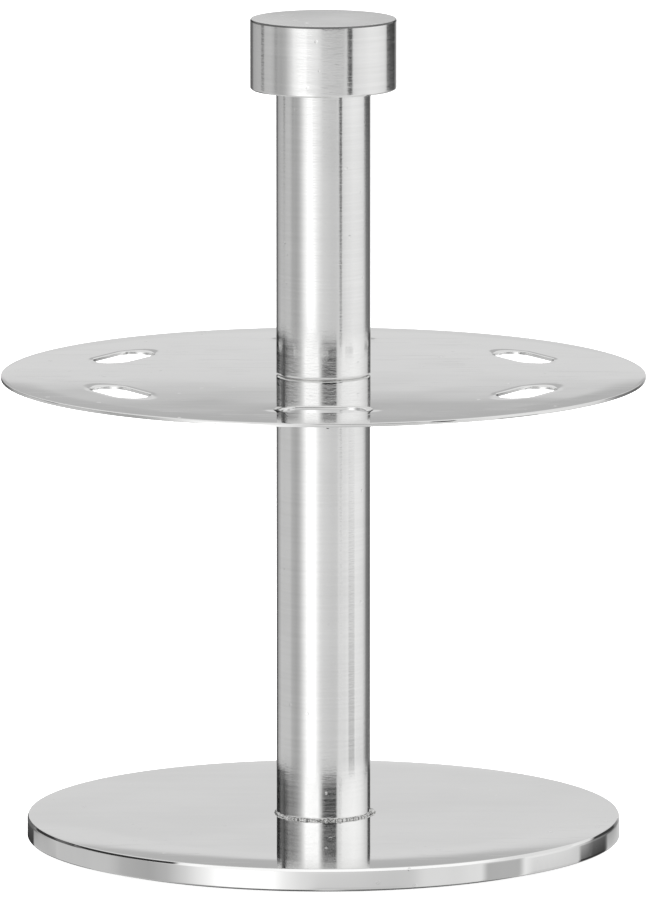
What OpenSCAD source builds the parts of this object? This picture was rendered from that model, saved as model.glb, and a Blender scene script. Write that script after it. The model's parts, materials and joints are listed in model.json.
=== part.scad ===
// Razor stand: a round base, two tubular columns in line, a slotted shelf between them
// and a screw-on knob. Z is up, and the origin is where the axis meets the table.

/* [Base] */
// Diameter of the base plate
base_d = 160; // [120:1:200]
// Thickness of the base plate
base_t = 6; // [6:0.5:10]
// Size of the chamfer around the top of the base plate
base_chamfer = 0.8; // [0.3:0.1:1.5]
// Size of the chamfer around the underside of the base plate
base_lower_chamfer = 0.3; // [0.1:0.1:1]
// Diameter of the non-slip pad under the base
pad_d = 152; // [100:1:160]
// Thickness of the non-slip pad
pad_t = 1; // [0.5:0.5:3]
// Diameter of the hole in the pad, around the base screw
pad_hole_d = 24; // [18:1:40]

/* [Columns] */
// Outer diameter of both column tubes
column_d = 25.4; // [22:0.1:32]
// Wall thickness of the column tubes
column_wall = 1.5; // [1:0.1:3]
// Clear height between the base plate and the shelf
lower_h = 118.8; // [80:0.1:160]
// Clear height between the shelf and the knob
upper_h = 77.2; // [60:0.1:120]
// Width of the solder bead at the foot of the lower column
bead_w = 0.7; // [0.3:0.1:2]

/* [Shelf] */
// Diameter of the shelf
shelf_d = 173.4; // [150:0.1:220]
// Thickness of the shelf
shelf_t = 1; // [0.8:0.1:3]
// Number of razor slots
slot_count = 6; // [4:1:8]
// Diameter of the circle through the middles of the slots
slot_circle_d = 125; // [100:1:130]
// Length of a slot, end to end
slot_l = 22.5; // [14:0.5:28]
// Width of a slot
slot_w = 10.5; // [6:0.5:13]

/* [Knob] */
// Diameter of the knob
knob_d = 39.3; // [30:0.1:50]
// Height of the knob
knob_h = 19; // [15:0.5:30]
// Size of the chamfers around the top and underside of the knob
knob_chamfer = 0.4; // [0.2:0.1:1.5]

/* [Fasteners] */
// Thread diameter of the screw and both studs
thread_d = 8; // [6:1:8]
// Length of the tapped plugs in the columns
plug_l = 18; // [14:1:24]
// Depth that a screw or stud reaches into a plug
grip_l = 16; // [10:1:20]
// Depth of the knob's blind hole
knob_hole_l = 13; // [8:0.5:13]
// Across-flats size of the base screw's hexagon socket
socket_af = 5; // [4:0.5:5]

/* [Fits] */
// Radial gap between a male thread and its tapped hole
thread_gap = 0.05; // [0.02:0.01:0.1]
// Radial gap around a fastener in a plain hole
hole_gap = 0.2; // [0.1:0.05:0.5]
// How far a plug, or the base screw's head, stays below the face around it
recess = 0.3; // [0.1:0.1:0.5]

/* [Hidden] */

$fn = 96;
bead_steps = 5;
cut = 1;

// Levels, from the table up
base_z = pad_t;
lower_z = base_z + base_t;
shelf_z = lower_z + lower_h;
upper_z = shelf_z + shelf_t;
knob_z = upper_z + upper_h;

// Radii and lengths that follow from the sizes above
column_r = column_d / 2;
column_bore_r = column_r - column_wall;
thread_r = thread_d / 2;
tapped_r = thread_r + thread_gap;
plain_hole_r = thread_r + hole_gap;
plug_chamfer = 0.8;
stud_chamfer = 0.6;
screw_head_r = thread_d;
screw_head_rim = 0.5;
screw_head_h = screw_head_r - thread_r + screw_head_rim;
screw_z = base_z + recess;
socket_l = 3;
seat_gap = 0.03;
knob_stud_gap = 0.03;
knob_hole_tip = 0.5;

metal_bright = "gainsboro";
metal_inner = "silver";
metal_zinc = "lightsteelblue";
pad_black = "dimgray";

// Turned rod or disc from z = 0 up, with a chamfer at each end
module turned(r, h, lower_chamfer, upper_chamfer) {
    rotate_extrude() polygon([
        [0, 0],
        [r - lower_chamfer, 0],
        [r, lower_chamfer],
        [r, h - upper_chamfer],
        [r - upper_chamfer, h],
        [0, h]
    ]);
}

// Length of column tube from z = 0 up
module tube(h) {
    difference() {
        cylinder(r = column_r, h = h);
        translate([0, 0, -cut]) cylinder(r = column_bore_r, h = h + 2 * cut);
    }
}

// Tapped plug that fills the bore of a column, from z = 0 up
module plug() {
    difference() {
        turned(column_bore_r, plug_l, plug_chamfer, plug_chamfer);
        translate([0, 0, -cut]) cylinder(r = tapped_r, h = plug_l + 2 * cut);
    }
}

// Tool that cuts one razor slot, lying along Y, through the shelf
module slot_cutter() {
    end_y = (slot_l - slot_w) / 2;
    depth = shelf_t + 2 * cut;
    translate([-slot_w / 2, -end_y, 0]) cube([slot_w, 2 * end_y, depth]);
    for (y = [-end_y, end_y]) translate([0, y, 0]) cylinder(d = slot_w, h = depth);
}

module base_pad() {
    color(pad_black) difference() {
        cylinder(d = pad_d, h = pad_t);
        translate([0, 0, -cut]) cylinder(d = pad_hole_d, h = pad_t + 2 * cut);
    }
}

// The plate, with a plain hole and a 90 degree countersink from below
module base_plate() {
    seat_r = screw_head_r + seat_gap;
    cone_h = screw_head_r - thread_r;
    color(metal_bright) difference() {
        translate([0, 0, base_z])
            turned(base_d / 2, base_t, base_lower_chamfer, base_chamfer);
        translate([0, 0, base_z - cut]) cylinder(r = plain_hole_r, h = base_t + 2 * cut);
        translate([0, 0, base_z - cut]) cylinder(r = seat_r, h = cut + recess + screw_head_rim);
        translate([0, 0, screw_z + screw_head_rim])
            cylinder(r1 = seat_r, r2 = thread_r + seat_gap, h = cone_h);
    }
}

module base_screw() {
    tip_z = lower_z + recess + grip_l;
    color(metal_zinc) difference() {
        rotate_extrude() polygon([
            [0, screw_z],
            [screw_head_r, screw_z],
            [screw_head_r, screw_z + screw_head_rim],
            [thread_r, screw_z + screw_head_h],
            [thread_r, tip_z - stud_chamfer],
            [thread_r - stud_chamfer, tip_z],
            [0, tip_z]
        ]);
        translate([0, 0, screw_z - cut])
            cylinder(d = socket_af / cos(30), h = socket_l + cut, $fn = 6);
    }
}

// Hollow fillet of solder in the corner between the column and the base
module foot_bead() {
    centre = [column_r + bead_w, lower_z + bead_w];
    arc = [
        for (i = [0 : bead_steps])
            centre - bead_w * [sin(90 * i / bead_steps), cos(90 * i / bead_steps)]
    ];
    color(metal_inner) rotate_extrude() polygon(concat([[column_r, lower_z]], arc));
}

module foot_plug() {
    color(metal_inner) translate([0, 0, lower_z + recess]) plug();
}

module lower_column() {
    color(metal_bright) translate([0, 0, lower_z]) tube(lower_h);
}

module shelf_plug_lower() {
    color(metal_inner) translate([0, 0, shelf_z - recess - plug_l]) plug();
}

module shelf_stud() {
    reach = recess + grip_l;
    color(metal_zinc) translate([0, 0, shelf_z - reach])
        turned(thread_r, shelf_t + 2 * reach, stud_chamfer, stud_chamfer);
}

// The shelf, with one slot centred on the -Y side and the rest at equal angles
module shelf() {
    color(metal_bright) difference() {
        translate([0, 0, shelf_z]) cylinder(d = shelf_d, h = shelf_t);
        translate([0, 0, shelf_z - cut]) cylinder(r = plain_hole_r, h = shelf_t + 2 * cut);
        for (i = [0 : slot_count - 1])
            rotate([0, 0, -90 + 360 * i / slot_count])
                translate([slot_circle_d / 2, 0, shelf_z - cut]) slot_cutter();
    }
}

module shelf_plug_upper() {
    color(metal_inner) translate([0, 0, upper_z + recess]) plug();
}

module upper_column() {
    color(metal_bright) translate([0, 0, upper_z]) tube(upper_h);
}

module knob_plug() {
    color(metal_inner) translate([0, 0, knob_z - recess - plug_l]) plug();
}

module knob_stud() {
    reach = recess + grip_l;
    color(metal_zinc) translate([0, 0, knob_z - reach])
        turned(thread_r, reach + knob_hole_l - knob_hole_tip, stud_chamfer, stud_chamfer);
}

// The knob, with a blind hole from below for its stud
module knob() {
    color(metal_bright) difference() {
        translate([0, 0, knob_z]) turned(knob_d / 2, knob_h, knob_chamfer, knob_chamfer);
        translate([0, 0, knob_z - cut])
            cylinder(r = thread_r + knob_stud_gap, h = knob_hole_l + cut);
    }
}

base_pad();
base_plate();
base_screw();
foot_bead();
foot_plug();
lower_column();
shelf_plug_lower();
shelf_stud();
shelf();
shelf_plug_upper();
upper_column();
knob_plug();
knob_stud();
knob();
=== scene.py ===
"""Looks of the razor stand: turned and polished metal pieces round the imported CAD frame."""

import json
import math

import bmesh
import bpy
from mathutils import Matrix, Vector, noise

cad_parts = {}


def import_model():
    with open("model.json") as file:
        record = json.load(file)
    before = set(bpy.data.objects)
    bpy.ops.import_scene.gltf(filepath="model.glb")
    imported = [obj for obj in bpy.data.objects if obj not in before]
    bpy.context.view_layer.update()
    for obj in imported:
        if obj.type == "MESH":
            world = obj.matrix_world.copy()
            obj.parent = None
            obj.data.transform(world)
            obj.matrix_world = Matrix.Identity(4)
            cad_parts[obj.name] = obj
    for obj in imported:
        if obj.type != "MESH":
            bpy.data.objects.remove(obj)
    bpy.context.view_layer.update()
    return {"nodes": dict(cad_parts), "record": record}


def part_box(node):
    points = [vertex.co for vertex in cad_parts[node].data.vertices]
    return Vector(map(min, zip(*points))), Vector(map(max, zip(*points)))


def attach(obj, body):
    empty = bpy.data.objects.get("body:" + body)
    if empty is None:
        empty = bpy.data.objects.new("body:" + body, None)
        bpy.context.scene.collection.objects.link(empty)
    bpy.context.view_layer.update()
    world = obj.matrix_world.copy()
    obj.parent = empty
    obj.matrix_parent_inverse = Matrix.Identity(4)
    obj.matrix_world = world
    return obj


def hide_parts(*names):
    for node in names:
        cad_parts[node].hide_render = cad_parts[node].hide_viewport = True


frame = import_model()

MM = 0.001
TURN = 2 * math.pi
AROUND = 288          # steps round the columns, the pad and the solder bead
AROUND_FINE = 384     # steps round the plates and the knob
AROUND_HOLE = 96      # steps round the base screw and the shelf's centre hole
AROUND_STUD = 64
ON_AXIS = 1e-9        # a radius below this is on the axis

# ---------------------------------------------------------------- sizes read from the frame


def low_z(node):
    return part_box(node)[0].z


def top_z(node):
    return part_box(node)[1].z


def radius(node):
    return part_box(node)[1].x


PAD_R = radius("base_pad")
PAD_TOP = top_z("base_pad")
BASE_R = radius("base_plate")
BASE_TOP = top_z("base_plate")
COLUMN_R = radius("lower_column")
SHELF_R = radius("shelf")
SHELF_LOW = low_z("shelf")
SHELF_TOP = top_z("shelf")
KNOB_R = radius("knob")
KNOB_LOW = low_z("knob")
KNOB_TOP = top_z("knob")
SLOTS = [m for m in frame["record"]["mounts"] if m["name"].startswith("slot_")]

# sizes that the frame doesn't state, the same as in the CAD source
PAD_HOLE_R = 12 * MM
COLUMN_WALL = 1.5 * MM
THREAD_R = 4 * MM
PLAIN_HOLE_R = 4.2 * MM
KNOB_HOLE = (4.03 * MM, 13 * MM)
SCREW_HEAD_R = 8 * MM
SOCKET_R = 2.5 * MM   # half the socket's width across flats
SOCKET_L = 3 * MM
SLOT_L = 22.5 * MM
SLOT_W = 10.5 * MM
BASE_LOWER_CHAMFER = 0.3 * MM

# the M8 thread, which the CAD source leaves out
THREAD_PITCH = 1.25 * MM
THREAD_DEPTH = 0.6134 * THREAD_PITCH
THREAD_CORE = THREAD_R - THREAD_DEPTH
THREAD_ROWS = 10         # rings of points to one pitch
THREAD_END = 0.9 * MM    # length of the chamfer at its end

# Top bevels, in from the side and down from the top. They are steeper than the CAD's chamfers:
# the base's mirrors a dark flag on the left, as in the photo; the knob's is a painted dark
# reflection.
BASE_BEVEL = (0.30 * MM, 0.75 * MM)
KNOB_BEVEL = (0.185 * MM, 0.51 * MM)
KNOB_LOWER_CHAMFER = 0.4 * MM    # as in the CAD source

# the knob's material slots after the first, which covers its side and underside
TOP_FACE_SLOT = 1
BEVEL_SLOT = 2

# ---------------------------------------------------------------- mesh helpers


def smoothstep(a, b, x):
    """0 up to a, 1 from b on, and a soft rise between."""
    t = min(1.0, max(0.0, (x - a) / (b - a)))
    return t * t * (3 - 2 * t)


def add_piece(name, verts, faces, body, node, sharp_degrees):
    """A new mesh piece, smooth shaded apart from its sharp edges, that replaces a CAD node."""
    mesh = bpy.data.meshes.new(name)
    mesh.from_pydata([tuple(v) for v in verts], [], faces)
    mesh.validate()
    for polygon in mesh.polygons:
        polygon.use_smooth = True
    mesh.set_sharp_from_angle(angle=math.radians(sharp_degrees))
    piece = bpy.data.objects.new(name, mesh)
    bpy.context.scene.collection.objects.link(piece)
    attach(piece, body)
    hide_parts(node)
    return piece


def lathe(profile, steps, shape=None):
    """Verts and faces of an outline of (r, z) points swept round the Z axis. It closes on
    itself or at the axis, and runs anticlockwise, with r to the right. A point on the axis
    becomes one vertex. shape(angle, r, z) may return a changed (r, z), and may use a negative r
    as a mark."""
    verts, rings = [], []
    for r, z in profile:
        if abs(r) < ON_AXIS:
            rings.append([len(verts)] * steps)
            verts.append((0, 0, z))
            continue
        ring = []
        for k in range(steps):
            a = TURN * k / steps
            rr, zz = shape(a, r, z) if shape else (r, z)
            ring.append(len(verts))
            verts.append((rr * math.cos(a), rr * math.sin(a), zz))
        rings.append(ring)
    faces = []
    for i, ring in enumerate(rings):
        nxt = rings[(i + 1) % len(rings)]
        if ring[0] == ring[-1] and nxt[0] == nxt[-1]:
            continue
        for k in range(steps):
            j = (k + 1) % steps
            corners = []
            for v in (ring[k], nxt[k], nxt[j], ring[j]):
                if v not in corners:
                    corners.append(v)
            if len(corners) > 2:
                faces.append(corners[::-1])
    return verts, faces


def circle(r, z, steps):
    """Points of a level circle round the Z axis."""
    angles = [TURN * k / steps for k in range(steps)]
    return [(r * math.cos(a), r * math.sin(a), z) for a in angles]


def arc(cr, cz, r, a0, a1, steps):
    """Points of an arc round (cr, cz), from angle a0 to a1 in degrees."""
    angles = [math.radians(a0 + (a1 - a0) * i / steps) for i in range(steps + 1)]
    return [(cr + r * math.cos(a), cz + r * math.sin(a)) for a in angles]


def rounded(points, r, steps=4):
    """An open outline with each inner corner rounded to radius r. A point is added on the
    straight stretch each side of the corner, so that the stretch keeps its own normal."""
    out = [points[0]]
    for p, q, s in zip(points, points[1:], points[2:]):
        p, q, s = Vector(p), Vector(q), Vector(s)
        u, v = (p - q).normalized(), (s - q).normalized()
        half = u.angle(v) / 2
        shorter = min((p - q).length, (s - q).length)
        back = min(r / math.tan(half), 0.3 * shorter)
        start, end = q + u * back, q + v * back
        out.append(tuple(start + u * min(0.5 * MM, 0.18 * (p - q).length)))
        for i in range(steps + 1):
            t = i / steps
            out.append(tuple((1 - t) ** 2 * start + 2 * t * (1 - t) * q + t * t * end))
        out.append(tuple(end + v * min(0.5 * MM, 0.18 * (s - q).length)))
    out.append(points[-1])
    return out


# ---------------------------------------------------------------- base plate


def roll_off(share, drop):
    """How far a buffed face has fallen, at a share of the way from flat to rim."""
    return drop * share**2


def base_plate():
    """Thick disc: bevelled rim, top face buffed down a little near it, countersunk below."""
    dub, drop, steps = 20 * MM, 0.20 * MM, 20    # width, depth and rings of the buffed part
    broken = 0.2 * MM
    bevel_in, bevel_down = BASE_BEVEL
    rim = BASE_R - bevel_in
    top = [
        (rim - dub * (1 - i / steps), BASE_TOP - roll_off(i / steps, drop))
        for i in range(steps + 1)
    ]
    seat = SCREW_HEAD_R + 0.03 * MM
    outline = [(PLAIN_HOLE_R, BASE_TOP - broken), (PLAIN_HOLE_R + broken, BASE_TOP)]
    outline += [(PLAIN_HOLE_R + 0.5 * MM, BASE_TOP), (COLUMN_R, BASE_TOP)]
    outline += [(rim - dub - 1 * MM, BASE_TOP)]
    outline += top[:-1]
    outline += rounded(
        [
            top[-2],
            top[-1],
            (BASE_R, BASE_TOP - drop - bevel_down),
            (BASE_R, PAD_TOP + BASE_LOWER_CHAMFER),
            (BASE_R - BASE_LOWER_CHAMFER, PAD_TOP),
            (seat + 0.4 * MM, PAD_TOP),
            (seat, PAD_TOP + broken),
            (seat, PAD_TOP + 0.8 * MM),
            (PLAIN_HOLE_R, PAD_TOP + 4.6 * MM),
            (PLAIN_HOLE_R, BASE_TOP - broken),
        ],
        0.16 * MM,
    )[1:-1]
    verts, faces = lathe(outline[::-1], AROUND_FINE)
    return add_piece(
        "base_plate_turned", verts, faces, "stand", "base_plate", 50
    )


def base_pad():
    """Rubber disc with soft edges, and a hole round the screw."""
    soft = 0.35 * MM
    outline = rounded(
        [
            (PAD_HOLE_R, PAD_TOP / 2),
            (PAD_HOLE_R, PAD_TOP),
            (PAD_R, PAD_TOP),
            (PAD_R, 0),
            (PAD_HOLE_R, 0),
            (PAD_HOLE_R, PAD_TOP / 2),
        ],
        soft,
    )[:-1]
    verts, faces = lathe(outline[::-1], AROUND)
    return add_piece(
        "base_pad_rubber", verts, faces, "stand", "base_pad", 60
    )


# ---------------------------------------------------------------- threads


def thread_radius(angle, z):
    """Radius of a V thread at an angle and a height."""
    phase = (z / THREAD_PITCH - angle / TURN) % 1.0
    return THREAD_R - THREAD_DEPTH * (1 - smoothstep(0.06, 0.94, abs(2 * phase - 1)))


def threaded(name, body, node):
    """A stud with a real helical thread and chamfered ends."""
    z0, z1 = low_z(node), top_z(node)
    rows = round((z1 - z0) / THREAD_PITCH * THREAD_ROWS)
    heights = [z0 + (z1 - z0) * i / rows for i in range(rows + 1)]

    def shape(angle, r, z):
        from_end = min(z - z0, z1 - z)
        cone = THREAD_CORE - 0.1 * MM + from_end / THREAD_END * THREAD_DEPTH
        return min(thread_radius(angle, z), cone), z

    outline = [(0, z0)] + [(THREAD_R, z) for z in heights] + [(0, z1)]
    verts, faces = lathe(outline, AROUND_STUD, shape)
    return add_piece(name, verts, faces, body, node, 75)


def base_screw():
    """Countersunk screw with a hexagon socket and a threaded shank."""
    z0, z1 = low_z("base_screw"), top_z("base_screw")
    neck = z0 + 4.5 * MM
    plain_rows = 5        # rings left out above the neck, where the shank has no thread
    socket_tip = 0.8 * MM

    def hexagon(angle):
        return SOCKET_R / math.cos((angle + TURN / 12) % (TURN / 6) - TURN / 12)

    def shape(angle, r, z):
        if r < 0:
            return hexagon(angle) * -r / SOCKET_R, z
        if z > neck + 0.6 * MM:
            cone = THREAD_CORE + max(0.0, z1 - z) / THREAD_END * THREAD_DEPTH
            return min(thread_radius(angle, z), cone), z
        return r, z

    rows = round((z1 - neck) / THREAD_PITCH * THREAD_ROWS)
    shank = [(THREAD_R, neck + (z1 - neck) * i / rows) for i in range(plain_rows, rows + 1)]
    # a negative r marks the points of the hexagon socket
    socket = [
        (0, z0 + SOCKET_L + socket_tip),
        (-SOCKET_R, z0 + SOCKET_L),
        (-SOCKET_R, z0 + 0.2 * MM),
        (-SOCKET_R * 1.08, z0),
    ]
    head = rounded(
        [
            (SOCKET_R * 1.5, z0),
            (SCREW_HEAD_R, z0),
            (SCREW_HEAD_R, z0 + 0.5 * MM),
            (THREAD_R, neck),
            (THREAD_R, neck + 0.5 * MM),
        ],
        0.12 * MM,
    )
    outline = socket + head + shank + [(0, z1)]
    verts, faces = lathe(outline, AROUND_HOLE, shape)
    return add_piece(
        "base_screw_zinc", verts, faces, "stand", "base_screw", 40
    )


# ---------------------------------------------------------------- columns and bead


def column(name, node):
    """Tube with lightly broken ends."""
    z0, z1 = low_z(node), top_z(node)
    bore = COLUMN_R - COLUMN_WALL
    broken = 0.42 * MM
    middle = (bore, (z0 + z1) / 2)
    corners = [
        (bore, z0 + broken),
        (bore + broken, z0),
        (COLUMN_R - broken, z0),
        (COLUMN_R, z0 + broken),
        (COLUMN_R, z1 - broken),
        (COLUMN_R - broken, z1),
        (bore + broken, z1),
        (bore, z1 - broken),
    ]
    outline = rounded([middle] + corners + [middle], 0.14 * MM, 3)[:-1]
    verts, faces = lathe(outline, AROUND)
    return add_piece(name, verts, faces, "stand", node, 60)


def foot_bead():
    """Uneven ring of solder in the corner between the lower column and the base, with a blob
    at its right."""
    wide = radius("foot_bead") - COLUMN_R
    section = 10          # steps across the ring
    blob_half = 0.055     # radians

    def lumps(angle, seed):
        p = Vector((math.cos(angle) * 3, math.sin(angle) * 3, seed))
        return noise.noise(p) + 0.6 * noise.noise(p * 3.1) + 0.35 * noise.noise(p * 7.3)

    verts, faces = [], []
    for k in range(AROUND):
        a = TURN * k / AROUND
        blob = max(0.0, 1 - (min(a, TURN - a) / blob_half) ** 2) ** 0.5
        out = wide * (0.92 + 0.30 * lumps(a, 1.7) + 1.1 * blob)
        up = wide * (0.84 + 0.35 * lumps(a, 9.4) + 1.0 * blob)
        for i in range(section + 1):
            t = math.pi / 2 * i / section
            bulge = 0.80 + 0.12 * noise.noise(Vector((math.cos(a) * 40, math.sin(a) * 40, t * 3)))
            r = COLUMN_R + out * math.cos(t) ** (1 / bulge)
            z = BASE_TOP + up * math.sin(t) ** (1 / bulge)
            verts.append((r * math.cos(a), r * math.sin(a), z))
        verts.append((COLUMN_R * math.cos(a), COLUMN_R * math.sin(a), BASE_TOP))
    n = section + 2
    for k in range(AROUND):
        j = (k + 1) % AROUND
        for i in range(n):
            m = (i + 1) % n
            faces.append([k * n + i, j * n + i, j * n + m, k * n + m])
    return add_piece("foot_bead_solder", verts, faces, "stand", "foot_bead", 60)


# ---------------------------------------------------------------- shelf


def slot_loop(centre, along, out, grow, z, tip_grow, tip_drop):
    """Points round an obround slot, grown outwards by grow, and by tip_grow more at its tips."""
    steps = 24
    straight = (SLOT_L - SLOT_W) / 2
    points = []
    for end in (1, -1):
        for i in range(steps + 1):
            a = math.pi * i / steps
            tip = math.sin(a) ** 5
            r = SLOT_W / 2 + grow + tip_grow * tip
            p = centre + along * end * (straight + r * math.sin(a)) + out * end * r * math.cos(a)
            points.append((p.x, p.y, z - tip_drop * tip))
    return points


def shelf():
    """Thin disc with punched slots, whose rims are drawn in a little on top, and a broken edge."""
    bm = bmesh.new()
    flat_top, flat_low = [], []         # the loops that bound the flat part of each face
    dip, dip_w = 0.09 * MM, 1.6 * MM    # how deep and wide a slot's rim is drawn in
    tip_dip, tip_w = 0.16 * MM, 3.4 * MM    # and how much more at its tips
    dip_steps = 9
    # the wall of a slot below that: growth and height in mm, share of the tips' dip
    wall = [(0.03, -0.05, 1), (0.0, -0.14, 1), (0.0, -0.45, 0.5), (0.03, -0.85, 0)]

    def skirts(loops):
        """Adds the points of each loop in turn, and a band of faces from each to the next."""
        rings = [[bm.verts.new(p) for p in points] for points in loops]
        for a, b in zip(rings, rings[1:]):
            for i in range(len(a)):
                j = (i + 1) % len(a)
                bm.faces.new((a[i], a[j], b[j], b[i]))
        flat_top.append(rings[0])
        flat_low.append(rings[-1])

    for mount in SLOTS:
        centre = Vector(mount["pos_m"][:2]).to_3d()
        out = centre.normalized()
        along = Vector((-out.y, out.x, 0))
        rims = [(dip_w + 0.7 * MM, SHELF_TOP, tip_w, 0)]
        for i in range(dip_steps):
            away = (1 - i / (dip_steps - 1)) ** 1.6
            down = (i / (dip_steps - 1)) ** 2.2
            rims.append(
                (dip_w * away + 0.10 * MM, SHELF_TOP - dip * down, tip_w * away, tip_dip * down)
            )
        for grow, z, left in wall:
            rims.append((grow * MM, SHELF_TOP - dip + z * MM, 0, tip_dip * left))
        rims += [(0.15 * MM, SHELF_LOW, 0, 0), (0.6 * MM, SHELF_LOW, 0, 0)]
        skirts([slot_loop(centre, along, out, *rim) for rim in rims])

    chamfer = 0.2 * MM
    wide = PLAIN_HOLE_R + chamfer
    hole = [
        (wide + 0.5 * MM, SHELF_TOP),
        (wide, SHELF_TOP),
        (PLAIN_HOLE_R, SHELF_TOP - chamfer),
        (PLAIN_HOLE_R, SHELF_LOW + chamfer),
        (wide, SHELF_LOW),
        (wide + 0.5 * MM, SHELF_LOW),
    ]
    skirts([circle(r, z, AROUND_HOLE) for r, z in hole])

    roll, drop, roll_steps = 9 * MM, 0.07 * MM, 9    # width, depth and rings of the buffed part
    broken = 0.14 * MM
    rim = SHELF_R - broken
    edge = [(rim - roll - 0.8 * MM, SHELF_TOP)]
    for i in range(roll_steps + 1):
        share = i / roll_steps
        edge.append((rim - roll * (1 - share), SHELF_TOP - roll_off(share, drop)))
    edge += arc(rim, SHELF_TOP - drop - broken, broken, 75, 0, 4)
    edge += arc(rim, SHELF_LOW + broken, broken, 0, -90, 4)
    edge += [(rim - 0.8 * MM, SHELF_LOW)]
    skirts([circle(r, z, AROUND_FINE) for r, z in edge])

    for loops in (flat_top, flat_low):
        edges = []
        for loop in loops:
            for i in range(len(loop)):
                edges.append(bm.edges.get((loop[i], loop[(i + 1) % len(loop)])))
        bmesh.ops.triangle_fill(bm, use_beauty=True, use_dissolve=False, edges=edges)
    bmesh.ops.recalc_face_normals(bm, faces=bm.faces)
    bm.verts.index_update()
    verts = [v.co.copy() for v in bm.verts]
    faces = [[v.index for v in f.verts] for f in bm.faces]
    bm.free()
    return add_piece("shelf_sheet", verts, faces, "stand", "shelf", 50)


# ---------------------------------------------------------------- knob


def knob():
    """Turned knob: top bevel in a painted dark reflection, broken lower edge and a blind hole for
    its stud.
    """
    hole_r, hole_l = KNOB_HOLE
    hole_tip, hole_chamfer = 1.5 * MM, 0.5 * MM
    bevel_in, bevel_down = KNOB_BEVEL
    outline = rounded(
        [
            (0, KNOB_TOP),
            (KNOB_R - bevel_in, KNOB_TOP),
            (KNOB_R, KNOB_TOP - bevel_down),
            (KNOB_R, KNOB_LOW + KNOB_LOWER_CHAMFER),
            (KNOB_R - KNOB_LOWER_CHAMFER, KNOB_LOW),
            (hole_r + hole_chamfer, KNOB_LOW),
            (hole_r, KNOB_LOW + hole_chamfer),
            (hole_r, KNOB_LOW + hole_l),
            (0, KNOB_LOW + hole_l + hole_tip),
        ],
        0.18 * MM,
    )
    verts, faces = lathe(outline[::-1], AROUND_FINE)
    piece = add_piece("knob_turned", verts, faces, "knob", "knob", 45)
    flat = 0.01 * MM      # the top face is within this of the highest point
    for polygon in piece.data.polygons:
        if polygon.center.z > KNOB_TOP - flat:
            polygon.material_index = TOP_FACE_SLOT
        elif polygon.center.z > KNOB_TOP - bevel_down:
            polygon.material_index = BEVEL_SLOT
    return piece


# ---------------------------------------------------------------- materials


class Nodes:
    """Small helper that adds shader nodes and links them."""

    def __init__(self, name):
        self.material = bpy.data.materials.new(name)
        self.material.use_nodes = True
        self.tree = self.material.node_tree
        self.tree.nodes.clear()
        self.output = self.tree.nodes.new("ShaderNodeOutputMaterial")

    def add(self, kind, **settings):
        node = self.tree.nodes.new(kind)
        for key, value in settings.items():
            setattr(node, key, value)
        return node

    def link(self, source, target):
        self.tree.links.new(source, target)

    def put(self, target, value):
        if isinstance(value, bpy.types.NodeSocket):
            self.link(value, target)
        else:
            target.default_value = value

    def math(self, operation, a, b=0.0):
        node = self.add("ShaderNodeMath", operation=operation)
        self.put(node.inputs[0], a)
        self.put(node.inputs[1], b)
        return node.outputs[0]

    def span(self, value, low, high, out_low=0.0, out_high=1.0, smooth=True):
        """value mapped from low..high to out_low..out_high, with soft ends."""
        kind = "SMOOTHSTEP" if smooth else "LINEAR"
        node = self.add("ShaderNodeMapRange", interpolation_type=kind)
        for name, v in (
            ("Value", value),
            ("From Min", low),
            ("From Max", high),
            ("To Min", out_low),
            ("To Max", out_high),
        ):
            self.put(node.inputs[name], v)
        return node.outputs[0]

    def place(self, scale, turn=(0, 0, 0)):
        """Object coordinates, stretched and turned."""
        coordinates = self.add("ShaderNodeTexCoord")
        mapping = self.add("ShaderNodeMapping")
        mapping.inputs["Scale"].default_value = scale
        mapping.inputs["Rotation"].default_value = turn
        self.link(coordinates.outputs["Object"], mapping.inputs["Vector"])
        return mapping.outputs[0]

    def noise(self, vector, scale, detail=2.0, roughness=0.5):
        node = self.add("ShaderNodeTexNoise")
        self.link(vector, node.inputs["Vector"])
        node.inputs["Scale"].default_value = scale
        node.inputs["Detail"].default_value = detail
        node.inputs["Roughness"].default_value = roughness
        return node.outputs["Fac"]

    def cells(self, vector, scale):
        node = self.add("ShaderNodeTexVoronoi")
        self.link(vector, node.inputs["Vector"])
        node.inputs["Scale"].default_value = scale
        return node

    def grey_mix(self, fac, dark, light):
        node = self.add("ShaderNodeMix", data_type="RGBA")
        self.put(node.inputs["Factor"], fac)
        node.inputs["A"].default_value = (*dark, 1)
        node.inputs["B"].default_value = (*light, 1)
        return node.outputs["Result"]

    def bump(self, height, distance, strength=1.0, normal=None):
        node = self.add("ShaderNodeBump")
        node.inputs["Strength"].default_value = strength
        node.inputs["Distance"].default_value = distance
        self.link(height, node.inputs["Height"])
        if normal is not None:
            self.link(normal, node.inputs["Normal"])
        return node.outputs["Normal"]

    def surface(self, **values):
        shader = self.add("ShaderNodeBsdfPrincipled")
        for name, value in values.items():
            self.put(shader.inputs[name.replace("_", " ")], value)
        self.link(shader.outputs[0], self.output.inputs["Surface"])
        return shader


def pits(n, size, share, seed):
    """0 to 1: sparse round pits or specks of about that size in metres."""
    vector = n.place((1, 1, 1), (seed, seed * 2.1, seed * 0.7))
    cell = n.cells(vector, 1 / size)
    near = n.span(cell.outputs["Distance"], 0.06, 0.15, 1.0, 0.0)
    split = n.add("ShaderNodeSeparateColor")
    n.link(cell.outputs["Color"], split.inputs[0])
    chosen = n.math("GREATER_THAN", split.outputs[0], 1 - share)
    return n.math("MULTIPLY", near, chosen)


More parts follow.
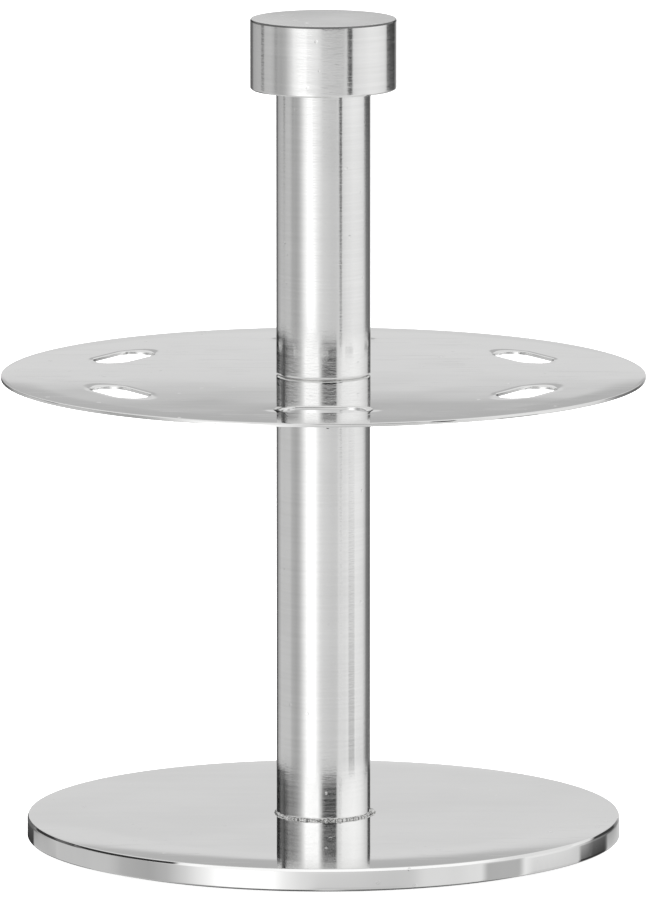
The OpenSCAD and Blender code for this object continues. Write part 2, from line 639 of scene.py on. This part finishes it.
def hair_scratches(n, angle, seed):
    """0 to 1: a few fine straight scratches in one direction on a flat face."""
    vector = n.place((14, 900, 14), (0, 0, angle))
    lines = n.noise(vector, 1.0 + seed * 0.13, 1.0, 0.4)
    patches = n.noise(n.place((1, 1, 1), (seed, 0, 0)), 70, 1.0)
    thin = n.span(lines, 0.66, 0.72)
    return n.math("MULTIPLY", thin, n.span(patches, 0.52, 0.60))


def plate_material(name, tint, roughness, streak, wave):
    """Buffed flat plate: near mirror, a little wavy, with streaks, scratches, pits and specks.
    streak is the share of the streaks in the height, and wave the waves' height in metres."""
    n = Nodes(name)
    across = n.noise(n.place((9, 160, 9)), 1.0, 4.0, 0.6)
    cloud = n.noise(n.place((1, 1, 1)), 22, 3.0, 0.55)
    waves = n.noise(n.place((1, 1, 1)), 26, 1.0, 0.5)
    scratches = n.math(
        "MAXIMUM",
        n.math("MAXIMUM", hair_scratches(n, 0.12, 1), hair_scratches(n, 1.25, 2)),
        hair_scratches(n, 2.3, 3),
    )
    small_pits = pits(n, 4.5 * MM, 0.16, 0.4)
    specks = pits(n, 5.5 * MM, 0.08, 1.1)
    tone = n.math("ADD", n.math("MULTIPLY", across, 0.3), n.math("MULTIPLY", cloud, 0.7))
    dark = tuple(c * 0.94 for c in tint)
    colour = n.grey_mix(n.span(tone, 0.35, 0.65), dark, tint)
    rough = n.span(cloud, 0.3, 0.7, roughness * 0.7, roughness * 1.3)
    rough = n.math("ADD", rough, n.math("MULTIPLY", scratches, 0.03))
    rough = n.math("ADD", rough, n.math("MULTIPLY", specks, 0.25))
    height = n.math("MULTIPLY", scratches, -0.06)
    height = n.math("ADD", n.math("MULTIPLY", across, streak), height)
    height = n.math("SUBTRACT", height, n.math("MULTIPLY", small_pits, 1.6))
    height = n.math("ADD", height, specks)
    normal = n.bump(height, 0.02 * MM)
    normal = n.bump(waves, wave, 1.0, normal)
    n.surface(Base_Color=colour, Metallic=1.0, Roughness=rough, Normal=normal)
    return n.material


def turned_material(name, tint, roughness, ring_height, anisotropy, mottled):
    """Polished turned metal: fine rings round the axis, which smear reflections along it.
    ring_height and mottled are heights in metres, of the rings and of the buffing marks."""
    n = Nodes(name)
    rings_fine = n.noise(n.place((30, 30, 5200)), 1.0, 2.0, 0.6)
    rings_wide = n.noise(n.place((14, 14, 900)), 1.0, 3.0, 0.6)
    hand = n.noise(n.place((500, 500, 2200)), 1.0, 2.0, 0.5)
    cloud = n.noise(n.place((1, 1, 1)), 60, 2.0, 0.5)
    small_pits = pits(n, 3.6 * MM, 0.16, 0.9)
    tone = n.math("ADD", n.math("MULTIPLY", rings_wide, 0.5), n.math("MULTIPLY", cloud, 0.5))
    dark = tuple(c * 0.93 for c in tint)
    colour = n.grey_mix(n.span(tone, 0.35, 0.65), dark, tint)
    rough = n.span(rings_wide, 0.3, 0.7, roughness * 0.8, roughness * 1.2)
    fine, wide = n.math("MULTIPLY", rings_fine, 0.35), n.math("MULTIPLY", rings_wide, 0.65)
    height = n.math("ADD", fine, wide)
    normal = n.bump(height, ring_height)
    normal = n.bump(hand, mottled, 1.0, normal)
    normal = n.bump(n.math("SUBTRACT", 1.0, small_pits), 0.03 * MM, 1.0, normal)
    tangent = n.add("ShaderNodeTangent", direction_type="RADIAL", axis="Z")
    n.surface(
        Base_Color=colour,
        Metallic=1.0,
        Roughness=rough,
        Anisotropic=anisotropy,
        Anisotropic_Rotation=0.25,
        Tangent=tangent.outputs[0],
        Normal=normal,
    )
    return n.material


def machined_material(name, tint, roughness, rings):
    """Plainly machined or plated metal, with that many tool marks to a metre."""
    n = Nodes(name)
    marks = n.noise(n.place((40, 40, rings)), 1.0, 3.0, 0.6)
    cloud = n.noise(n.place((1, 1, 1)), 180, 3.0, 0.6)
    colour = n.grey_mix(n.span(cloud, 0.3, 0.7), tuple(c * 0.82 for c in tint), tint)
    rough = n.span(cloud, 0.3, 0.7, roughness * 0.75, roughness * 1.25)
    normal = n.bump(marks, 0.012 * MM)
    n.surface(Base_Color=colour, Metallic=1.0, Roughness=rough, Normal=normal)
    return n.material


def solder_material():
    """Bright but uneven solder, dull in the hollows."""
    n = Nodes("bright_solder")
    lumps = n.noise(n.place((1, 1, 1)), 1900, 3.0, 0.6)
    cloud = n.noise(n.place((1, 1, 1)), 600, 2.0, 0.5)
    colour = n.grey_mix(n.span(lumps, 0.35, 0.6), (0.14, 0.14, 0.135), (0.80, 0.80, 0.79))
    rough = n.span(cloud, 0.3, 0.7, 0.12, 0.34)
    normal = n.bump(lumps, 0.10 * MM)
    n.surface(Base_Color=colour, Metallic=1.0, Roughness=rough, Normal=normal)
    return n.material


def rubber_material():
    """Matt black rubber with a fine pebble grain."""
    n = Nodes("black_rubber")
    grain = n.cells(n.place((1, 1, 1)), 1500)
    cloud = n.noise(n.place((1, 1, 1)), 90, 4.0, 0.6)
    colour = n.grey_mix(n.span(cloud, 0.3, 0.7), (0.020, 0.020, 0.021), (0.045, 0.045, 0.047))
    rough = n.span(cloud, 0.3, 0.7, 0.62, 0.82)
    normal = n.bump(grain.outputs["Distance"], 0.06 * MM)
    n.surface(Base_Color=colour, Roughness=rough, Normal=normal)
    return n.material


# ---------------------------------------------------------------- studio

CAMERA_PLACE = (1.75 * MM, -3.2494, 0.6203)
CAMERA_AIM = (1.75 * MM, 0, 0.1061)
LENS = 489.3        # focal length in mm
SENSOR = 36         # width in mm

WORLD_STRENGTH = 1.05
FLOOR_GREY = (0.6, 0.6, 0.6, 1)
FLOOR_GLOW = 0.8    # lifts the floor to the photo's white

# name, place, what it points at, diameter, watts
SOFTBOXES = [
    ("key_left", (-1.6, -1.2, 2.2), (0, 0, 0.1), 1.6, 60),
    ("key_right", (1.7, -0.9, 2.2), (0, 0, 0.1), 1.6, 50),
    ("top", (0, 0.4, 2.6), (0, 0, 0), 2.4, 60),
]

TENT_R = 2.0
TENT_FULL = 1.5     # light level of a ramp value of 1

# Light levels round the tent, by azimuth in degrees: 0 is on the camera's side (-Y), 90 on +X.
# The table side, lowest in the tent, is what the upright faces reflect.
TABLE_LEVELS = [
    (-180, 0.75), (-174, 0.60), (-168, 0.12), (-150, 0.15), (-142, 0.42), (-125, 0.50),
    (-92, 0.56), (-82, 0.47), (-70, 0.42), (-62, 0.50), (-54, 0.72), (-46, 1.00),
    (-38, 1.30), (-22, 1.35), (-15, 1.00), (-8, 0.80), (2, 0.73), (20, 0.66),
    (36, 0.66), (46, 0.72), (58, 0.82), (76, 0.90), (96, 0.87), (110, 0.80),
    (120, 0.60), (128, 0.25), (148, 0.13), (158, 0.30), (166, 0.75), (180, 0.75),
]
# The wall, a low band above that, is what the plates show, and what the mirrored columns show.
WALL_LEVELS = [
    (-180, 0.715), (-172, 0.715), (-165, 0.03), (-140, 0.01), (-128, 0.13), (-120, 0.15),
    (-112, 0.08), (-103, 0.08), (-93, 0.20), (-80, 0.22), (-68, 0.33), (-58, 0.58),
    (-50, 1.00), (-44, 1.40), (-14, 1.40), (-8, 0.80), (-3, 0.28), (4, 0.03),
    (16, 0.0), (30, 0.0), (34.5, 0.80), (46, 1.10), (80, 1.15), (100, 1.05),
    (118, 0.85), (133, 0.65), (142, 0.08), (158, 0.06), (165, 0.30), (172, 0.715),
    (180, 0.715),
]
# Cards and flags: azimuths, elevations, level, softness across and up, all in degrees but the
# level. From the camera, the knob shows elevation -1, the upper column -1.5 to -5, the lower one
# -5 to -10.5 and the base's side -11. The base's top face shows 11 and the shelf's 12 to 12.7.
TABLE_CARDS = [
    ((-46, -27), (-1.3, 8), 0.98, (3.0, 0.3)),
    ((-27, -9), (-2.6, 8), 0.86, (3.0, 1.2)),
    ((-83, -77), (-1.4, 8), 0.33, (2.0, 0.3)),
    ((-115, -107), (-1.4, 8), 0.18, (1.5, 0.3)),
    ((37.5, 46.5), (-1.4, 8), 0.01, (0.8, 0.3)),
    ((40, 45.5), (-4.0, -1.2), 0.08, (1.0, 1.2)),
    ((117.5, 150), (-1.6, 8), 0.05, (1.5, 0.5)),
    ((64, 82), (-60, -8), 0.48, (2.0, 2.5)),
    ((-130, -88), (-60, -4), 0.59, (5.0, 2.0)),
    ((-4, 30), (-60, -10.6), 0.60, (4.0, 0.3)),
    ((36, 51), (-60, -4.6), 0.80, (4.0, 1.5)),
    ((86, 116), (-60, -10.5), 0.64, (3.0, 0.3)),
    ((143, 178), (-60, -10.5), 0.60, (1.5, 0.3)),
    ((117, 141), (-60, -10.5), 0.04, (1.5, 0.3)),
    ((-178, -153), (-60, -10.5), 0.04, (1.0, 0.3)),
    ((-152.5, -126), (-60, -10.5), 0.52, (1.0, 0.3)),
    ((-150, -112), (1.5, 9.5), 0.04, (3.0, 0.8)),
    ((-3, 33), (2, 9.5), 0.02, (2.5, 0.8)),
]
WALL_CARDS = [
    ((166, 200), (8, 11.35), 0.68, (2.0, 0.1)),
    ((-200, -166), (8, 11.35), 0.68, (2.0, 0.1)),
    ((160, 200), (12.50, 17), 0.47, (3.0, 0.26)),
    ((-200, -160), (12.50, 17), 0.47, (3.0, 0.26)),
]
# The upper part is soft and even. The front of the base's bevel shows its bright overhead card,
# and the left of the bevel shows a narrow black flag that slants across the tent's left.
UPPER_LEVELS = [
    (-180, 0.80), (-120, 0.76), (-60, 0.80), (0, 0.76), (60, 0.84), (120, 0.80), (180, 0.80),
]
UPPER_CARDS = [
    ((160, 200), (12.8, 16), 0.47, (3.0, 0.5)),
    ((-200, -160), (12.8, 16), 0.47, (3.0, 0.5)),
    ((-60, 75), (24, 38), 1.12, (8.0, 2.0)),
]
FLAG_MIDDLE = (-92.6, 19.9)     # azimuth and elevation
FLAG_SLOPE = 0.24               # degrees that it climbs for each degree to the front
FLAG_HALF = (2.3, 0.8)          # half its height, and how soft that edge is
FLAG_ENDS = (-128, -61)
FLAG_FADE = (12.6, 13.4)        # elevations over which it fades in from below
FLAG_LEVEL = 0.03

# elevations over which one part of the tent turns into the next, and the level at the zenith
TABLE_TO_WALL = (7.8, 9.2)
WALL_TO_UPPER = (12.9, 13.4)
UPPER_TO_TOP = (62, 72)
TOP_LEVEL = 0.85


def tent_grey(level):
    """Colour of a part of the tent that glows at that level."""
    grey = level / TENT_FULL
    return (grey, grey, grey, 1)


def azimuth_ramp(n, azimuth, levels):
    """The levels as a colour ramp round the tent."""
    ramp = n.add("ShaderNodeValToRGB")
    elements = ramp.color_ramp.elements
    while len(elements) < len(levels):
        elements.new(0.5)
    for element, (degrees, level) in zip(elements, levels):
        element.position = (degrees + 180) / 360
        element.color = tent_grey(level)
    n.link(n.span(azimuth, -180, 180, smooth=False), ramp.inputs[0])
    return ramp.outputs[0]


def blend(n, fac, a, b):
    """Colour a where fac is 0, and b where it is 1."""
    node = n.add("ShaderNodeMix", data_type="RGBA")
    n.put(node.inputs["Factor"], fac)
    n.put(node.inputs["A"], a)
    n.put(node.inputs["B"], b)
    return node.outputs["Result"]


def patches(n, colour, azimuth, elevation, cards):
    """The colour with each card or flag on it: a soft rectangle of the tent at its own level."""
    for across, up, level, (soft_a, soft_e) in cards:
        inside = n.span(azimuth, across[0] - soft_a, across[0] + soft_a)
        for edge in (
            n.span(azimuth, across[1] + soft_a, across[1] - soft_a),
            n.span(elevation, up[0] - soft_e, up[0] + soft_e),
            n.span(elevation, up[1] + soft_e, up[1] - soft_e),
        ):
            inside = n.math("MULTIPLY", inside, edge)
        colour = blend(n, inside, colour, tent_grey(level))
    return colour


def slanting_flag(n, azimuth, elevation):
    """1 on the narrow black flag, 0 off it."""
    half, soft = FLAG_HALF
    end_soft = 2
    start, end = FLAG_ENDS
    climb = n.math("MULTIPLY", n.math("SUBTRACT", azimuth, FLAG_MIDDLE[0]), FLAG_SLOPE)
    off = n.math("SUBTRACT", n.math("SUBTRACT", elevation, FLAG_MIDDLE[1]), climb)
    flag = n.span(n.math("ABSOLUTE", off), half + soft, half - soft)
    for edge in (
        n.span(azimuth, start - end_soft, start + end_soft),
        n.span(azimuth, end + end_soft, end - end_soft),
        n.span(elevation, *FLAG_FADE),
    ):
        flag = n.math("MULTIPLY", flag, edge)
    return flag


def tent_material():
    """Glow of the light tent, by direction from the middle of the stage."""
    n = Nodes("light_tent")
    position = n.add("ShaderNodeTexCoord").outputs["Object"]
    split = n.add("ShaderNodeSeparateXYZ")
    n.link(position, split.inputs[0])
    x, y, z = split.outputs
    to_degrees = 180 / math.pi
    front = n.math("MULTIPLY", y, -1.0)
    azimuth = n.math("MULTIPLY", n.math("ARCTAN2", x, front), to_degrees)
    level_distance = n.math(
        "SQRT", n.math("ADD", n.math("MULTIPLY", x, x), n.math("MULTIPLY", y, y))
    )
    elevation = n.math("MULTIPLY", n.math("ARCTAN2", z, level_distance), to_degrees)

    table = azimuth_ramp(n, azimuth, TABLE_LEVELS)
    table = patches(n, table, azimuth, elevation, TABLE_CARDS)
    wall = azimuth_ramp(n, azimuth, WALL_LEVELS)
    wall = patches(n, wall, azimuth, elevation, WALL_CARDS)
    upper = azimuth_ramp(n, azimuth, UPPER_LEVELS)
    colour = blend(n, n.span(elevation, *TABLE_TO_WALL), table, wall)
    colour = blend(n, n.span(elevation, *WALL_TO_UPPER), colour, upper)
    colour = patches(n, colour, azimuth, elevation, UPPER_CARDS)
    flag = slanting_flag(n, azimuth, elevation)
    colour = blend(n, flag, colour, tent_grey(FLAG_LEVEL))
    colour = blend(n, n.span(elevation, *UPPER_TO_TOP), colour, tent_grey(TOP_LEVEL))
    glow = n.add("ShaderNodeEmission")
    glow.inputs["Strength"].default_value = TENT_FULL
    n.link(colour, glow.inputs["Color"])
    n.link(glow.outputs[0], n.output.inputs["Surface"])
    n.material.cycles.emission_sampling = "NONE"
    return n.material


def light_tent():
    """A ball-shaped light tent round the stage. Only reflections see it."""
    bm = bmesh.new()
    bmesh.ops.create_uvsphere(bm, u_segments=128, v_segments=64, radius=TENT_R)
    mesh = bpy.data.meshes.new("light_tent")
    bm.to_mesh(mesh)
    bm.free()
    tent = bpy.data.objects.new("light_tent", mesh)
    bpy.context.scene.collection.objects.link(tent)
    mesh.materials.append(tent_material())
    tent.visible_camera = False
    tent.visible_diffuse = False
    tent.visible_shadow = False
    tent.visible_transmission = False
    tent.visible_volume_scatter = False


def floor():
    """Plain white light table, which reflections don't see."""
    half = 14.0
    z = -0.02 * MM        # just clear of the pad's underside
    corners = [(-half, -half, z), (half, -half, z), (half, half, z), (-half, half, z)]
    mesh = bpy.data.meshes.new("floor")
    mesh.from_pydata(corners, [], [(0, 1, 2, 3)])
    plane = bpy.data.objects.new("floor", mesh)
    bpy.context.scene.collection.objects.link(plane)
    n = Nodes("floor_white")
    n.surface(
        Base_Color=FLOOR_GREY,
        Roughness=0.9,
        Emission_Color=(1, 1, 1, 1),
        Emission_Strength=FLOOR_GLOW,
    )
    mesh.materials.append(n.material)
    plane.visible_glossy = False


def facing(place, aim):
    """Rotation of a lamp or camera that stands at place and points at aim."""
    return (Vector(aim) - Vector(place)).to_track_quat("-Z", "Y").to_euler()


def softbox(name, place, aim, size, watts):
    """A round lamp that lights the floor and the matt faces, and shows in no reflection."""
    data = bpy.data.lights.new(name, "AREA")
    data.shape = "DISK"
    data.size = size
    data.energy = watts
    lamp = bpy.data.objects.new(name, data)
    bpy.context.scene.collection.objects.link(lamp)
    lamp.location = place
    lamp.rotation_euler = facing(place, aim)
    lamp.visible_glossy = False


def world():
    """Plain white surroundings."""
    made = bpy.data.worlds.new("studio_white")
    bpy.context.scene.world = made
    made.use_nodes = True
    background = made.node_tree.nodes["Background"]
    background.inputs["Color"].default_value = (1, 1, 1, 1)
    background.inputs["Strength"].default_value = WORLD_STRENGTH


def camera():
    """Long lens, straight in front of the stand and looking a little down on it."""
    data = bpy.data.cameras.new("camera")
    data.lens = LENS
    data.sensor_width = SENSOR
    data.clip_start = 0.1
    data.clip_end = 100
    eye = bpy.data.objects.new("camera", data)
    bpy.context.scene.collection.objects.link(eye)
    eye.location = CAMERA_PLACE
    eye.rotation_euler = facing(CAMERA_PLACE, CAMERA_AIM)
    bpy.context.scene.camera = eye


# ---------------------------------------------------------------- build

camera()
world()
floor()
light_tent()
for lamp_settings in SOFTBOXES:
    softbox(*lamp_settings)

NICKEL = (0.90, 0.90, 0.895)
NICKEL_BRUSHED = (0.99, 0.99, 0.985)
# painted dark reflection: a dark grey that stands in for the dark line the knob's bevel mirrors
NICKEL_PAINTED_DARK_REFLECTION = (0.20, 0.20, 0.20)
ZINC = (0.70, 0.72, 0.74)
PLUG_STEEL = (0.62, 0.62, 0.62)

plate_look = plate_material("polished_plate", NICKEL, 0.04, 0.14, 0.03 * MM)
sheet_look = plate_material("polished_sheet", NICKEL, 0.035, 0.08, 0.05 * MM)
tube_look = turned_material("polished_tube", NICKEL, 0.11, 0.003 * MM, 0.7, 0.010 * MM)
fastener_look = machined_material("zinc_plated", ZINC, 0.32, 900)
plug_look = machined_material("turned_plug", PLUG_STEEL, 0.38, 1400)
knob_looks = [
    turned_material("polished_knob", NICKEL, 0.12, 0.004 * MM, 0.7, 0.012 * MM),
    plate_material("brushed_top", NICKEL_BRUSHED, 0.12, 0.9, 0.01 * MM),
    # the knob's bevel: a painted dark reflection, the same dark grey all round
    machined_material("painted_dark_reflection_bevel", NICKEL_PAINTED_DARK_REFLECTION, 0.25, 900),
]

for piece, looks in (
    (knob(), knob_looks),
    (base_plate(), [plate_look]),
    (shelf(), [sheet_look]),
    (column("lower_column_tube", "lower_column"), [tube_look]),
    (column("upper_column_tube", "upper_column"), [tube_look]),
    (base_pad(), [rubber_material()]),
    (foot_bead(), [solder_material()]),
    (base_screw(), [fastener_look]),
    (threaded("knob_stud_thread", "knob_stud", "knob_stud"), [fastener_look]),
    (threaded("shelf_stud_thread", "stand", "shelf_stud"), [fastener_look]),
):
    for look in looks:
        piece.data.materials.append(look)
for node in ("foot_plug", "shelf_plug_lower", "shelf_plug_upper", "knob_plug"):
    frame["nodes"][node].material_slots[0].material = plug_look

bpy.context.scene.view_settings.view_transform = "Standard"
